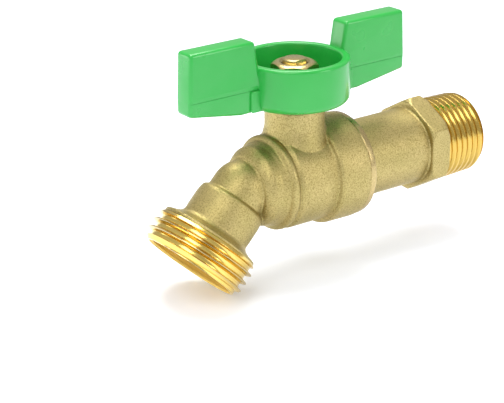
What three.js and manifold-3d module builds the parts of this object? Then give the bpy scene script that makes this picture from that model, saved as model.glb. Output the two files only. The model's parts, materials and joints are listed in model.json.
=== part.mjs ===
// Quarter-turn hose bib: a 1/2 in pipe thread inlet, a ball valve and a 3/4 in hose thread outlet.
// Millimetres. The pipe runs along Y with its inlet end at the origin, the outlet points down and
// toward -Y, and the stem stands along +Z.
import * as THREE from 'three';
import { mergeVertices } from 'three/addons/utils/BufferGeometryUtils.js';
import Module from 'manifold-3d';

const wasm = await Module();
wasm.setup();

// ---------------------------------------------------------------- driving dimensions
const GAP = 0.3; // clearance between touching pieces
const STEM_Y = -54; // stem axis, measured from the inlet end

// Inlet tailpiece, distances from the stem axis along +Y
const INLET_END = -STEM_Y;
const PIPE_R = 10.67; // 1/2 in pipe thread, crest radius at the wrench end
const PIPE_TAPER = 1 / 32; // radius lost for each mm along the thread
const PIPE_PITCH = 1.814;
const PIPE_DEPTH = 1.2;
const THREAD_START = 40.4;
const WRENCH_START = 35.6;
const WRENCH_HALF = 10.85; // centre to flat
const NECK_R = 9.65;
const SEAM = 13.4; // face where the tailpiece shoulders on the body
const RIM_END = 15.3;
const RIM_R = 13;
const SPIGOT_R = 10.2;
const SPIGOT_START = 8.6;
const INLET_BORE_R = 7;

// Ball valve
const BALL_R = 8.7;
const PORT_R = 4.8;
const SEAT_BORE_R = 5;
const SEAT_R = 7.4;
const SEAT_BACK = 9.4; // outer end of each seat, from the stem axis
const CHAMBER_R = 9.2;
const BODY_BORE_R = SPIGOT_R + 0.45;
const SLOT_DEPTH = 2.4;
const SLOT_WIDTH = 3.4;

// Outside of the body, from the elbow toward the inlet
const RING_R = 9.95;
const RING_FROM = -11.9;
const DRUM_R = 11.85;
const DRUM_FROM = -7.1;
const COLLAR_OUTER = 13.15;
const COLLAR_FROM = 5;

// Outlet elbow and spout
const ELBOW_Y = -16.2; // where the outlet axis leaves the pipe axis
const OUTLET_ANGLE = THREE.MathUtils.degToRad(46); // below the pipe axis
const ELBOW_R = 7.2;
const KNUCKLE_INSET = 0.06; // the ball inside the bend stays just under the two tubes it joins
const SPOUT_START = 2.8; // distances along the outlet axis
const SPOUT_R = 8.6;
const HOSE_THREAD_START = 12.4;
const SPOUT_END = 21.5;
const HOSE_R = 13.45; // 3/4 in hose thread, crest radius
const HOSE_PITCH = 2.209;
const HOSE_DEPTH = 1.35;
const MOUTH_R = 11.2;
const MOUTH_DEPTH = 7;

// Boss and stem, heights above the pipe axis
const BOSS_R = 7.25;
const BOSS_TOP = 18;
const STOP_TOP = 19.6;
const STOP_INNER_R = 6.1;
const STOP_FROM = THREE.MathUtils.degToRad(-83);
const STOP_SWEEP = THREE.MathUtils.degToRad(236);
const RECESS_R = 4.9;
const RECESS_TOP = 11.1;
const STEM_BORE_R = 3.9;
const PACKING_BORE_R = 5.1;
const PACKING_FLOOR = 12.7;
const STEM_R = 3.4;
const COLLAR_R = 4.5;
const COLLAR_BOTTOM = 9;
const COLLAR_TOP = 10;
const STEM_FLATS = 2.45; // centre to flat where the handle sits
const STEM_THREAD_R = 2.85;
const STEM_TOP = 29.65;

// Handle, heights above the pipe axis
const CUP_R = 13.05;
const CUP_INNER_R = 10.8;
const CUP_BOTTOM = 19.5;
const CUP_RIM = 30.1;
const WEB_BOTTOM = 20.6;
const WEB_TOP = 22.9;
const WING_TOP = 36.3;
const WING_THICKNESS = 5.26;
const WING_BEVEL = 0.8;
const WING_INNER = 12.5;
const WING_OUTER = 31.4;
const LUG_AT = THREE.MathUtils.degToRad(-100); // handle's stop lug with the valve open
const LUG_SWEEP = THREE.MathUtils.degToRad(30);
const NUT_FLATS = 5; // centre to flat
const NUT_BOTTOM = 23.95;
const NUT_TOP = 28.8;
const NUT_TURN = THREE.MathUtils.degToRad(18); // as tightened, from a corner pointing along the pipe

// ---------------------------------------------------------------- materials
function metal(color, roughness, metalness = 1) {
  return new THREE.MeshStandardMaterial({ color, roughness, metalness });
}

const castBrass = metal(0xb5a163, 0.5);
const turnedBrass = metal(0xd9b25a, 0.25);
const chromedBrass = metal(0xc9ccd0, 0.12);
const greenPaint = metal(0x34c25a, 0.3, 0.1);
const ptfe = metal(0xeeeeea, 0.6, 0);
const blackRubber = metal(0x1c1c1c, 0.8, 0);
const springSteel = metal(0x9a9a95, 0.35);

// ---------------------------------------------------------------- solids
// A closed geometry as a solid, with shared corners merged and flat slivers dropped.
function solid(geometry) {
  const bare = geometry.clone();
  bare.deleteAttribute('normal');
  bare.deleteAttribute('uv');
  const merged = mergeVertices(bare, 1e-4);
  const index = merged.index.array;
  const triangles = [];
  for (let i = 0; i < index.length; i += 3) {
    const [a, b, c] = [index[i], index[i + 1], index[i + 2]];
    if (a !== b && b !== c && c !== a) triangles.push(a, b, c);
  }
  const mesh = new wasm.Mesh({
    numProp: 3,
    vertProperties: new Float32Array(merged.attributes.position.array),
    triVerts: new Uint32Array(triangles),
  });
  return new wasm.Manifold(mesh);
}

function toGeometry(manifold) {
  const { vertProperties, triVerts } = manifold.getMesh();
  const geometry = new THREE.BufferGeometry();
  geometry.setAttribute('position', new THREE.BufferAttribute(new Float32Array(vertProperties), 3));
  geometry.setIndex(new THREE.BufferAttribute(new Uint32Array(triVerts), 1));
  geometry.computeVertexNormals();
  return geometry;
}

function union(...pieces) {
  return pieces.reduce((sum, piece) => sum.add(piece));
}

function cut(blank, ...tools) {
  return tools.reduce((rest, tool) => rest.subtract(tool), blank);
}

// Placements of a shape made around the Y axis
const alongPipe = new THREE.Matrix4();
const alongStem = new THREE.Matrix4().makeRotationX(Math.PI / 2);
const alongOutlet = new THREE.Matrix4()
  .makeTranslation(0, ELBOW_Y, 0)
  .multiply(new THREE.Matrix4().makeRotationX(Math.PI + OUTLET_ANGLE));

// Solid of revolution: profile points are [radius, height], outer wall rising.
function revolve(profile, placement, segments = 30) {
  const points = profile.map(([radius, height]) => new THREE.Vector2(radius, height));
  const onAxis = points[0].x === 0 && points.at(-1).x === 0;
  if (!onAxis) points.push(points[0].clone());
  return solid(new THREE.LatheGeometry(points, segments).applyMatrix4(placement));
}

function rod(radius, from, to, placement, segments = 30) {
  return revolve([[0, from], [radius, from], [radius, to], [0, to]], placement, segments);
}

function ring(inner, outer, from, to, placement, segments = 24) {
  const profile = [[inner, from], [outer, from], [outer, to], [inner, to]];
  return revolve(profile, placement, segments);
}

function ball(radius, y, segments = 24) {
  return solid(new THREE.SphereGeometry(radius, segments, segments / 2).translate(0, y, 0));
}

function block(width, depth, height, x, y, z) {
  return solid(new THREE.BoxGeometry(width, depth, height).translate(x, y, z));
}

// Points of an arc in a profile, angles in degrees.
function arc(centreR, centreH, radius, fromDeg, toDeg, steps) {
  const points = [];
  for (let i = 0; i <= steps; i += 1) {
    const angle = THREE.MathUtils.degToRad(fromDeg + ((toDeg - fromDeg) * i) / steps);
    points.push([centreR + radius * Math.cos(angle), centreH + radius * Math.sin(angle)]);
  }
  return points;
}

// Hexagonal bar about an axis, with its flats at +-X before placement.
function hexBar(toFlat, from, to, placement) {
  const corner = toFlat / Math.cos(Math.PI / 6);
  const bar = new THREE.CylinderGeometry(corner, corner, to - from, 6);
  bar.translate(0, (from + to) / 2, 0);
  return solid(bar.applyMatrix4(placement));
}

// Wedge of a ring: an extruded sector between two radii, about the stem axis.
function sector(inner, outer, start, sweep, from, to) {
  const shape = new THREE.Shape();
  shape.absarc(0, 0, outer, start, start + sweep, false);
  shape.absarc(0, 0, inner, start + sweep, start, true);
  const extrusion = new THREE.ExtrudeGeometry(shape, {
    depth: to - from,
    bevelEnabled: false,
    curveSegments: Math.ceil(sweep / 0.26),
  });
  return solid(extrusion.translate(0, 0, from));
}

// Right-hand thread about the Y axis. Rows of vertices follow the helix, four to each pitch, so a
// row meets the row four later after one turn. The raw bar is trimmed to its length by a rod.
function threadedRod({ crest, depth, pitch, taper = 0, from, to, chamfer, placement }) {
  const columns = 24;
  const offsets = [0, depth, depth, 0];
  const rows = 4 * Math.ceil((to - from) / pitch + 3);
  const radiusAt = (row, y) => crest - offsets[row % 4] - Math.max(0, y - from) * taper;
  const positions = [];
  for (let row = 0; row <= rows + 4; row += 1) {
    for (let column = 0; column < columns; column += 1) {
      const turn = column / columns;
      const y = from + pitch * (row / 4 - turn - 1);
      const radius = radiusAt(row, y);
      const angle = 2 * Math.PI * turn;
      positions.push(radius * Math.sin(angle), y, radius * Math.cos(angle));
    }
  }
  const vertex = (row, column) => {
    const wraps = column === columns;
    return (wraps ? row - 4 : row) * columns + (wraps ? 0 : column);
  };
  const triangles = [];
  for (let row = 4; row < rows + 4; row += 1) {
    for (let column = 0; column < columns; column += 1) {
      const a = vertex(row, column);
      const b = vertex(row, column + 1);
      const c = vertex(row + 1, column + 1);
      const d = vertex(row + 1, column);
      triangles.push(a, b, c, a, c, d);
    }
  }
  // Each end is a fan from the axis to the helical edge and the step where the edge meets itself.
  const edge = (row) => {
    const loop = [];
    for (let column = 0; column <= columns; column += 1) loop.push(vertex(row, column));
    for (let step = row - 3; step < row; step += 1) loop.push(vertex(step, 0));
    return loop;
  };
  [4, rows + 4].forEach((row, end) => {
    const centre = positions.length / 3;
    positions.push(0, from + pitch * (row / 4 - 1.5), 0);
    const loop = edge(row);
    loop.forEach((corner, i) => {
      const next = loop[(i + 1) % loop.length];
      if (end === 0) triangles.push(centre, next, corner);
      else triangles.push(centre, corner, next);
    });
  });
  const geometry = new THREE.BufferGeometry();
  geometry.setAttribute('position', new THREE.Float32BufferAttribute(positions, 3));
  geometry.setIndex(triangles);
  const last = crest - (to - from) * taper;
  const trim = revolve(
    [[0, from], [crest + 1, from], [crest + 1, to - chamfer - 1], [last - chamfer, to], [0, to]],
    placement,
    columns,
  );
  return solid(geometry.applyMatrix4(placement)).intersect(trim);
}

const parts = new THREE.Group();
parts.position.y = STEM_Y;

function addPart(name, manifold, material) {
  const mesh = new THREE.Mesh(toGeometry(manifold), material);
  mesh.name = name;
  parts.add(mesh);
}

// ---------------------------------------------------------------- valve body
function bodyShell() {
  const drum = revolve(
    [
      [0, RING_FROM],
      [ELBOW_R + 0.15, RING_FROM],
      ...arc(RING_R - 1.2, RING_FROM + 2, 1.2, -60, 0, 2),
      [RING_R, DRUM_FROM - 0.4],
      [RING_R + 0.25, DRUM_FROM],
      ...arc(DRUM_R - 1.2, DRUM_FROM + 1.5, 1.2, -75, 0, 2),
      [DRUM_R, COLLAR_FROM],
      ...arc(COLLAR_OUTER - 1.5, COLLAR_FROM + 2, 1.5, -70, 0, 2),
      [COLLAR_OUTER, SEAM - 0.5],
      [COLLAR_OUTER - 0.4, SEAM],
      [0, SEAM],
    ],
    alongPipe,
    36,
  );
  const elbow = union(
    rod(ELBOW_R, ELBOW_Y, RING_FROM + 1, alongPipe, 28),
    ball(ELBOW_R - KNUCKLE_INSET, ELBOW_Y),
    rod(ELBOW_R, 0, SPOUT_START + 1, alongOutlet, 28),
  );
  const spout = revolve(
    [
      [0, SPOUT_START],
      [ELBOW_R - 0.1, SPOUT_START],
      ...arc(ELBOW_R, SPOUT_START + 1.5, SPOUT_R - ELBOW_R, -70, 0, 3),
      [SPOUT_R, HOSE_THREAD_START - 1],
      [HOSE_R - HOSE_DEPTH - 0.3, HOSE_THREAD_START + 0.4],
      [HOSE_R - HOSE_DEPTH - 0.3, HOSE_THREAD_START + 2],
      [0, HOSE_THREAD_START + 2],
    ],
    alongOutlet,
    28,
  );
  const hoseThread = threadedRod({
    crest: HOSE_R,
    depth: HOSE_DEPTH,
    pitch: HOSE_PITCH,
    from: HOSE_THREAD_START,
    to: SPOUT_END,
    chamfer: 1,
    placement: alongOutlet,
  });
  const boss = revolve(
    [[0, 0], [BOSS_R, 0], [BOSS_R, BOSS_TOP - 0.4], [BOSS_R - 0.4, BOSS_TOP], [0, BOSS_TOP]],
    alongStem,
  );
  const stop = sector(STOP_INNER_R, BOSS_R - 0.15, STOP_FROM, STOP_SWEEP, BOSS_TOP - 1, STOP_TOP);
  return union(drum, elbow, spout, hoseThread, boss, stop);
}

function bodyWaterway() {
  const chamber = revolve(
    [
      [0, -SEAT_BACK - GAP],
      [SEAT_R + GAP, -SEAT_BACK - GAP],
      [SEAT_R + GAP, -7.4],
      [CHAMBER_R, -5.8],
      [CHAMBER_R, SPIGOT_START - GAP],
      [BODY_BORE_R, SPIGOT_START - GAP],
      [BODY_BORE_R, SEAM + 1],
      [0, SEAM + 1],
    ],
    alongPipe,
  );
  const bend = union(
    rod(SEAT_BORE_R, ELBOW_Y, -SEAT_BACK, alongPipe, 20),
    ball(SEAT_BORE_R - KNUCKLE_INSET, ELBOW_Y, 20),
  );
  const outlet = revolve(
    [
      [0, 0],
      [SEAT_BORE_R, 0],
      [SEAT_BORE_R + 0.6, 4],
      [SEAT_BORE_R + 0.6, SPOUT_END - MOUTH_DEPTH - 1.5],
      [MOUTH_R - 1, SPOUT_END - MOUTH_DEPTH],
      [MOUTH_R, SPOUT_END - MOUTH_DEPTH + 0.6],
      [MOUTH_R, SPOUT_END + 1],
      [0, SPOUT_END + 1],
    ],
    alongOutlet,
    24,
  );
  return union(chamber, bend, outlet);
}

function bossBore() {
  return revolve(
    [
      [0, 0],
      [RECESS_R, 0],
      [RECESS_R, RECESS_TOP],
      [STEM_BORE_R, RECESS_TOP],
      [STEM_BORE_R, PACKING_FLOOR],
      [PACKING_BORE_R, PACKING_FLOOR],
      [PACKING_BORE_R, STOP_TOP + 1],
      [0, STOP_TOP + 1],
    ],
    alongStem,
    24,
  );
}

addPart('valve_body', cut(bodyShell(), bodyWaterway(), bossBore()), castBrass);

// ---------------------------------------------------------------- inlet tailpiece
const GROOVE_FROM = 10.5;
const GROOVE_TO = 12.3;
const GROOVE_R = 8.7;

function tailpiece() {
  const turned = revolve(
    [
      [0, SPIGOT_START],
      [SPIGOT_R, SPIGOT_START],
      [SPIGOT_R, GROOVE_FROM],
      [GROOVE_R, GROOVE_FROM],
      [GROOVE_R, GROOVE_TO],
      [SPIGOT_R, GROOVE_TO],
      [SPIGOT_R, SEAM + GAP],
      [RIM_R - 0.3, SEAM + GAP],
      [RIM_R, SEAM + 0.7],
      [RIM_R, RIM_END - 0.5],
      [RIM_R - 0.6, RIM_END],
      [NECK_R, RIM_END + 0.2],
      [NECK_R, THREAD_START - 0.5],
      [PIPE_R - PIPE_DEPTH - 0.3, THREAD_START],
      [PIPE_R - PIPE_DEPTH - 0.3, THREAD_START + 2],
      [0, THREAD_START + 2],
    ],
    alongPipe,
    32,
  );
  const chamfer = revolve(
    [
      [0, WRENCH_START],
      [WRENCH_HALF + 1, WRENCH_START],
      [WRENCH_HALF + 1.8, WRENCH_START + 0.5],
      [WRENCH_HALF + 1.8, THREAD_START - 0.6],
      [WRENCH_HALF, THREAD_START + 0.3],
      [0, THREAD_START + 0.3],
    ],
    alongPipe,
  );
  const wrenchFlats = hexBar(WRENCH_HALF, WRENCH_START, THREAD_START + 0.3, alongPipe);
  const pipeThread = threadedRod({
    crest: PIPE_R,
    depth: PIPE_DEPTH,
    pitch: PIPE_PITCH,
    taper: PIPE_TAPER,
    from: THREAD_START,
    to: INLET_END,
    chamfer: 0.5,
    placement: alongPipe,
  });
  const bore = revolve(
    [
      [0, SPIGOT_START - 1],
      [SEAT_R + GAP, SPIGOT_START - 1],
      [SEAT_R + GAP, SEAT_BACK + GAP],
      [SEAT_BORE_R, SEAT_BACK + GAP],
      [SEAT_BORE_R, RIM_END - 1],
      [INLET_BORE_R, RIM_END + 2],
      [INLET_BORE_R, INLET_END - 0.6],
      [INLET_BORE_R + 0.6, INLET_END],
      [INLET_BORE_R + 0.6, INLET_END + 1],
      [0, INLET_END + 1],
    ],
    alongPipe,
    24,
  );
  return cut(union(turned, wrenchFlats.intersect(chamfer), pipeThread), bore);
}

addPart('inlet_tailpiece', tailpiece(), castBrass);

// ---------------------------------------------------------------- ball, seats and seals
function oRing(centreRadius, height, section, placement) {
  const profile = arc(centreRadius, height, section, 0, 300, 5);
  return revolve(profile, placement, 24);
}

const jointRing = oRing(GROOVE_R + GAP + 0.62, (GROOVE_FROM + GROOVE_TO) / 2, 0.6, alongPipe);
addPart('body_joint_o_ring', jointRing, blackRubber);

function valveBall() {
  const port = rod(PORT_R, -BALL_R - 1, BALL_R + 1, alongPipe, 24);
  const slotZ = BALL_R - SLOT_DEPTH / 2 + 0.5;
  const slot = block(2 * BALL_R, SLOT_WIDTH, SLOT_DEPTH + 1, 0, 0, slotZ);
  return cut(ball(BALL_R, 0, 28), port, slot);
}

addPart('ball', valveBall(), chromedBrass);

// Seat ring with a hollow face a gap away from the ball; side is +1 upstream and -1 downstream.
function seatRing(side) {
  const face = 5.6;
  const blank = side > 0
    ? ring(SEAT_BORE_R, SEAT_R, face, SEAT_BACK, alongPipe)
    : ring(SEAT_BORE_R, SEAT_R, -SEAT_BACK, -face, alongPipe);
  return cut(blank, ball(BALL_R + GAP, 0, 28));
}

addPart('inlet_seat_ring', seatRing(1), ptfe);
addPart('outlet_seat_ring', seatRing(-1), ptfe);

// ---------------------------------------------------------------- stem and its packing
const STEM_GROOVE_R = 2.5;
const STEM_RING_SECTION = 0.42;
const STEM_RING_Z = (RECESS_TOP + PACKING_FLOOR) / 2;
const TANG_THICKNESS = SLOT_WIDTH - 2 * GAP;
const TANG_BOTTOM = BALL_R - SLOT_DEPTH + GAP;

function stem() {
  const shaft = revolve(
    [
      [0, COLLAR_BOTTOM],
      [COLLAR_R, COLLAR_BOTTOM],
      [COLLAR_R, COLLAR_TOP],
      [STEM_R, COLLAR_TOP],
      [STEM_R, STEM_RING_Z - 0.6],
      [STEM_GROOVE_R, STEM_RING_Z - 0.6],
      [STEM_GROOVE_R, STEM_RING_Z + 0.6],
      [STEM_R, STEM_RING_Z + 0.6],
      [STEM_R, WEB_TOP - 0.2],
      [STEM_THREAD_R, WEB_TOP + 0.2],
      [STEM_THREAD_R, STEM_TOP - 0.4],
      [STEM_THREAD_R - 0.4, STEM_TOP],
      [0, STEM_TOP],
    ],
    alongStem,
    24,
  );
  const flatHeight = STEM_TOP + 1 - WEB_BOTTOM + 0.2;
  const flatZ = WEB_BOTTOM - 0.2 + flatHeight / 2;
  const flats = [-1, 1].map((side) => block(4, 12, flatHeight, side * (STEM_FLATS + 2), 0, flatZ));
  const tangHeight = COLLAR_BOTTOM - TANG_BOTTOM + 0.5;
  const tang = block(7, TANG_THICKNESS, tangHeight, 0, 0, TANG_BOTTOM + tangHeight / 2);
  return union(cut(shaft, ...flats), tang);
}

addPart('stem', stem(), turnedBrass);

const washerFrom = COLLAR_TOP + GAP;
const washer = ring(STEM_R + GAP, COLLAR_R, washerFrom, RECESS_TOP - GAP, alongStem);
addPart('stem_thrust_washer', washer, ptfe);

const stemRingRadius = STEM_GROOVE_R + GAP + STEM_RING_SECTION;
addPart('stem_o_ring', oRing(stemRingRadius, STEM_RING_Z, STEM_RING_SECTION, alongStem), blackRubber);

// The packing stack: two PTFE rings and a brass follower, one above the other.
const PACKING_HEIGHT = 0.9;
const PACKING_RINGS = [
  ['lower_packing_ring', ptfe],
  ['upper_packing_ring', ptfe],
  ['packing_gland', turnedBrass],
];
PACKING_RINGS.forEach(([name, material], i) => {
  const from = PACKING_FLOOR + GAP + i * (PACKING_HEIGHT + GAP);
  const to = from + PACKING_HEIGHT;
  addPart(name, ring(STEM_R + GAP, PACKING_BORE_R - GAP, from, to, alongStem), material);
});

const NUT_NOSE = PACKING_FLOOR + GAP + PACKING_RINGS.length * (PACKING_HEIGHT + GAP);
const PACKING_NUT_TOP = WEB_BOTTOM - 0.4;

function packingNut() {
  const head = hexBar(NUT_FLATS, BOSS_TOP + GAP, PACKING_NUT_TOP, alongStem);
  const nose = rod(PACKING_BORE_R - GAP, NUT_NOSE, BOSS_TOP + 1, alongStem);
  return cut(union(head, nose), rod(STEM_R + GAP, 0, STEM_TOP, alongStem));
}

addPart('packing_nut', packingNut(), turnedBrass);

// ---------------------------------------------------------------- handle and its fasteners
// Outline of one wing in the plane of the pipe and stem: [distance from the stem axis, height].
function wing(side) {
  const outline = [
    [CUP_INNER_R + 0.6, CUP_BOTTOM + 0.1],
    [17.6, CUP_BOTTOM + 0.1],
    [WING_OUTER, CUP_BOTTOM + 2.45],
    [WING_OUTER, WING_TOP],
    [WING_INNER + 1, WING_TOP],
    [WING_INNER, CUP_RIM - 1],
    [CUP_INNER_R + 0.6, CUP_RIM - 1],
  ];
  const inset = outline.map(([reach, height]) => new THREE.Vector2(reach, height));
  const plate = new THREE.ExtrudeGeometry(new THREE.Shape(inset), {
    depth: WING_THICKNESS - 2 * WING_BEVEL,
    bevelThickness: WING_BEVEL,
    bevelSize: WING_BEVEL,
    bevelOffset: -WING_BEVEL,
    bevelSegments: 2,
  });
  plate.translate(0, 0, WING_BEVEL - WING_THICKNESS / 2);
  // Extruded along Z from an outline in X and Y: stand it up along the pipe.
  plate.rotateX(Math.PI / 2);
  plate.rotateZ((side * Math.PI) / 2);
  return solid(plate);
}

function handle() {
  const cup = revolve(
    [
      [0, CUP_BOTTOM],
      [CUP_R - 1.7, CUP_BOTTOM],
      ...arc(CUP_R - 1.7, CUP_BOTTOM + 1.7, 1.7, -60, 0, 2),
      [CUP_R, CUP_RIM - 0.5],
      [CUP_R - 0.5, CUP_RIM],
      [0, CUP_RIM],
    ],
    alongStem,
    36,
  );
  const recess = revolve(
    [
      [0, WEB_TOP],
      [CUP_INNER_R - 0.5, WEB_TOP],
      [CUP_INNER_R, WEB_TOP + 0.5],
      [CUP_INNER_R, WING_TOP + 1],
      [0, WING_TOP + 1],
    ],
    alongStem,
    36,
  );
  const underside = rod(CUP_INNER_R - 0.4, CUP_BOTTOM - 1, WEB_BOTTOM, alongStem, 36);
  const lugStart = LUG_AT - LUG_SWEEP / 2;
  const lug = sector(STOP_INNER_R + 0.2, 8.4, lugStart, LUG_SWEEP, BOSS_TOP + GAP, WEB_BOTTOM + 1);
  const holeHalf = STEM_FLATS + GAP;
  const hole = rod(STEM_R + GAP, BOSS_TOP, WEB_TOP + 1, alongStem)
    .intersect(block(2 * holeHalf, 12, 40, 0, 0, WEB_TOP));
  const shell = cut(union(cup, wing(1), wing(-1)), recess, underside);
  return cut(union(shell, lug), hole);
}

addPart('handle', handle(), greenPaint);

// Split spring washer: a ring with a slot cut through one side.
function splitWasher() {
  const full = ring(STEM_THREAD_R + GAP, 5.2, WEB_TOP + GAP, NUT_BOTTOM - GAP, alongStem);
  return cut(full, block(0.8, 4, 4, 0, 4.5, WEB_TOP + 1));
}

addPart('handle_washer', splitWasher(), springSteel);

function handleNut() {
  const corner = NUT_FLATS / Math.cos(Math.PI / 6);
  const chamfer = revolve(
    [
      [0, NUT_BOTTOM],
      [corner + 0.1, NUT_BOTTOM],
      [corner + 0.1, NUT_TOP - 0.7],
      [NUT_FLATS - 0.2, NUT_TOP],
      [0, NUT_TOP],
    ],
    alongStem,
  );
  const turned = new THREE.Matrix4().makeRotationZ(NUT_TURN).multiply(alongStem);
  const hex = hexBar(NUT_FLATS, NUT_BOTTOM, NUT_TOP, turned).intersect(chamfer);
  return cut(hex, rod(STEM_THREAD_R + GAP, NUT_BOTTOM - 1, NUT_TOP + 1, alongStem));
}

addPart('handle_nut', handleNut(), turnedBrass);

const group = new THREE.Group();
group.add(parts);
export default group;
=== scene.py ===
"""Looks of a quarter-turn brass hose bib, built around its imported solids.

Shapes are modelled in millimetres with the origin where the stem axis crosses the pipe axis, the
pipe along Y, the outlet toward -Y and the stem along +Z. settle() then turns each finished piece
to metres and puts it in the frame's place.
"""

import json
import math
from types import SimpleNamespace

import bmesh
import bpy
from mathutils import Matrix, Vector


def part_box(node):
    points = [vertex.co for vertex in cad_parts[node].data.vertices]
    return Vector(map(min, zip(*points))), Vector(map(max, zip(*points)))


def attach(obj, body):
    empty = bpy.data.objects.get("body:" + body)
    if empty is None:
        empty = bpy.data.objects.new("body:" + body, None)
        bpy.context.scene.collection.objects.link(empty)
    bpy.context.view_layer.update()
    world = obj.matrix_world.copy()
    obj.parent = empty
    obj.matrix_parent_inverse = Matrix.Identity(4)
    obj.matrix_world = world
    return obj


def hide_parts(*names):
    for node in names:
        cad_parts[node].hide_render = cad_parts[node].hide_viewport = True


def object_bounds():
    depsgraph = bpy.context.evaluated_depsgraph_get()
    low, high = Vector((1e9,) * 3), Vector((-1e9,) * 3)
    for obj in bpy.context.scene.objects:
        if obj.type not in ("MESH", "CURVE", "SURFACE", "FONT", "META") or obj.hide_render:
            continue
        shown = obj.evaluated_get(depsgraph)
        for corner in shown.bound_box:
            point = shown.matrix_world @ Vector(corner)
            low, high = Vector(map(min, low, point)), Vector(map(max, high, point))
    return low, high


bl_info = {
    "name": "Hose bib",
    "version": (1, 0, 0),
    "blender": (4, 5, 0),
    "location": "View3D > Sidebar > Hose Bib",
    "description": "Cast and turned pieces of a quarter-turn brass hose bib",
    "category": "Add Mesh",
}

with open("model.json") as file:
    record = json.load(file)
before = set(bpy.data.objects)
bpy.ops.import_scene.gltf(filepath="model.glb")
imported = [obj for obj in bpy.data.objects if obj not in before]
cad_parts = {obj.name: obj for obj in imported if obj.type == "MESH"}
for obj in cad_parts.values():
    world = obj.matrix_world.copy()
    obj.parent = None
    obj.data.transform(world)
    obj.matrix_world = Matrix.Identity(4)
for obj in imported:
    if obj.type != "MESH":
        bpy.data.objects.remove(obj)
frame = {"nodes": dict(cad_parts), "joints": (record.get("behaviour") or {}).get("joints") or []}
CAD_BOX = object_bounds()
MM = 0.001
STEM_AXIS = Vector((0, frame["joints"][0]["pos_m"][1], 0))
TURN = 2 * math.pi
THREAD_STEPS = 120
HEX_CORNER = 1 / math.cos(TURN / 12)
MERGE = 0.0005
THREAD_MERGE = 0.002
CUT_MARGIN = 1e-5
SEAM_OVERLAP = 0.6
KNUCKLE_GAP = 0.02
TAIL_GRAIN = 0.26
TAIL_ROUNDS = 3
PIPE_TAPER = 1 / 32
PARTING_LINE = 25.0
TOOL_MARKS = (60, 60, 5200)


def edge_of(node, axis, end):
    """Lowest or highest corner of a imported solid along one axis, in millimetres from the stem axis."""
    return (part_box(node)[end][axis] - STEM_AXIS[axis]) / MM


def length(name, description, default):
    return bpy.props.FloatProperty(
        name=name, description=description, default=default, min=0.0, unit="LENGTH", precision=5
    )


def tint(name, description, default):
    return bpy.props.FloatVectorProperty(
        name=name, description=description, default=default, size=4, min=0, max=1, subtype="COLOR"
    )


class BodySizes(bpy.types.PropertyGroup):
    drum_radius: length("Drum radius", "Outside of the ball chamber", 0.01183)
    collar_radius: length("Collar radius", "Outside of the collar the tailpiece screws into", 0.01312)
    ring_radius: length("Ring radius", "Step between the drum and the elbow", 0.00998)
    elbow_radius: length("Elbow radius", "Outside of the bend", 0.0072)
    elbow_reach: length("Elbow reach", "Stem axis to where the outlet axis leaves the pipe", 0.0162)
    spout_radius: length("Spout radius", "Outside of the spout above its thread", 0.00868)
    boss_radius: length("Boss radius", "Outside of the boss the stem passes through", 0.00725)
    boss_top: length("Boss top", "Top of the boss above the pipe axis", 0.018)
    grain: length("Casting softness", "Cell size that rounds the cast corners", 0.00026)
    outlet_angle: bpy.props.FloatProperty(
        name="Outlet angle",
        description="How far the outlet points below the pipe",
        default=math.radians(46),
        unit="ROTATION",
    )


class ThreadSizes(bpy.types.PropertyGroup):
    hose_radius: length("Hose crest radius", "Crest of the 3/4 in hose thread", 0.01345)
    hose_pitch: length("Hose pitch", "Crest to crest of the hose thread", 0.002209)
    hose_depth: length("Hose depth", "Crest to root of the hose thread", 0.0014)
    hose_start: length("Hose thread start", "First crest along the outlet axis", 0.01275)
    hose_end: length("Hose thread end", "End face along the outlet axis", 0.0219)
    mouth_radius: length("Mouth radius", "Recess for the hose washer", 0.0114)
    pipe_radius: length("Pipe crest radius", "Crest of the 1/2 in pipe thread", 0.01067)
    pipe_pitch: length("Pipe pitch", "Crest to crest of the pipe thread", 0.001814)
    pipe_depth: length("Pipe depth", "Crest to root of the pipe thread", 0.00095)


class TailSizes(bpy.types.PropertyGroup):
    seam: length("Seam", "Stem axis to the joint with the body", 0.0134)
    rim_radius: length("Rim radius", "Turned rim against the body", 0.01299)
    neck_radius: length("Neck radius", "Outside of the neck", 0.00965)
    wrench_start: length("Wrench start", "Stem axis to the wrench flats", 0.03565)
    wrench_end: length("Wrench end", "Stem axis to the first thread crest", 0.0409)
    wrench_half: length("Wrench half", "Centre to flat", 0.01066)
    bore_radius: length("Bore radius", "Inlet bore", 0.007)


class HandleSizes(bpy.types.PropertyGroup):
    cup_radius: length("Cup radius", "Outside of the cup", 0.01322)
    cup_inner: length("Cup inner radius", "Inside of the cup", 0.0112)
    cup_bottom: length("Cup bottom", "Above the pipe axis", 0.01922)
    cup_rim: length("Cup rim", "Above the pipe axis", 0.0301)
    web_top: length("Web top", "Floor of the cup above the pipe axis", 0.0229)
    wing_top: length("Wing top", "Above the pipe axis", 0.03655)
    wing_reach: length("Wing reach", "Stem axis to the tip of a wing", 0.03185)
    wing_thickness: length("Wing thickness", "At the parting line", 0.0057)
    edge: length("Edge rounding", "Rounding of the edges of the wings", 0.0009)


class FastenerSizes(bpy.types.PropertyGroup):
    nut_half: length("Nut half", "Centre to flat of the handle nut", 0.005)
    nut_bottom: length("Nut bottom", "Above the pipe axis", 0.02395)
    nut_top: length("Nut top", "Above the pipe axis", 0.0288)
    stem_radius: length("Stem end radius", "Threaded end of the stem", 0.00285)
    stem_top: length("Stem top", "Above the pipe axis", 0.02965)
    nut_turn: bpy.props.FloatProperty(
        name="Nut turn",
        description="As tightened, from a corner pointing along the pipe",
        default=math.radians(18),
        unit="ROTATION",
    )


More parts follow.
